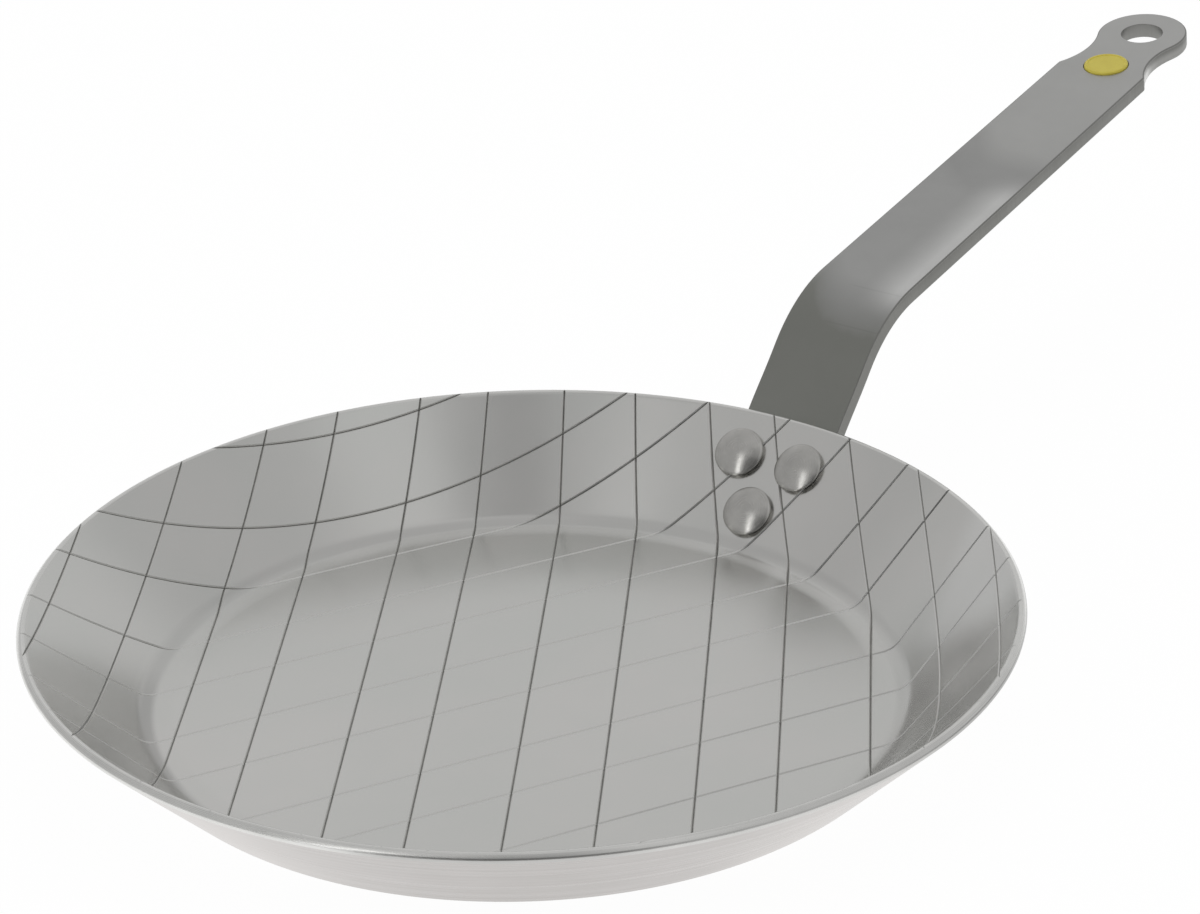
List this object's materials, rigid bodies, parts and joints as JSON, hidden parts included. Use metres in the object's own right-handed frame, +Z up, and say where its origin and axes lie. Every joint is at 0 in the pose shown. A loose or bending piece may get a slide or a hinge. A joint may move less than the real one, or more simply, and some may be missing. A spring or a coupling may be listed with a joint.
{
  "type": "grill pan",
  "caption": "Round flared steel grill pan with a diamond grid engraved inside and a riveted flat bar handle that ends in a hanging eye.",
  "frame": {"origin": "centre of the flat underside of the base, on the surface the pan stands on", "axes": "+Z up along the pan's axis, +X along the handle, away from the pan"},
  "size_m": [0.5187, 0.28, 0.0946],
  "materials": {
    "pan_steel": "satin pressed sheet steel, uncoated",
    "handle_steel": "dull grey satin bar steel",
    "rivet_steel": "turned satin steel",
    "ochre_plastic": "satin moulded plastic"
  },
  "bodies": {
    "root": {"pan_body": "pan_steel", "handle": "handle_steel", "rivet_left": "rivet_steel", "rivet_right": "rivet_steel", "rivet_lower": "rivet_steel", "medallion": "ochre_plastic"}
  },
  "joints": []
}
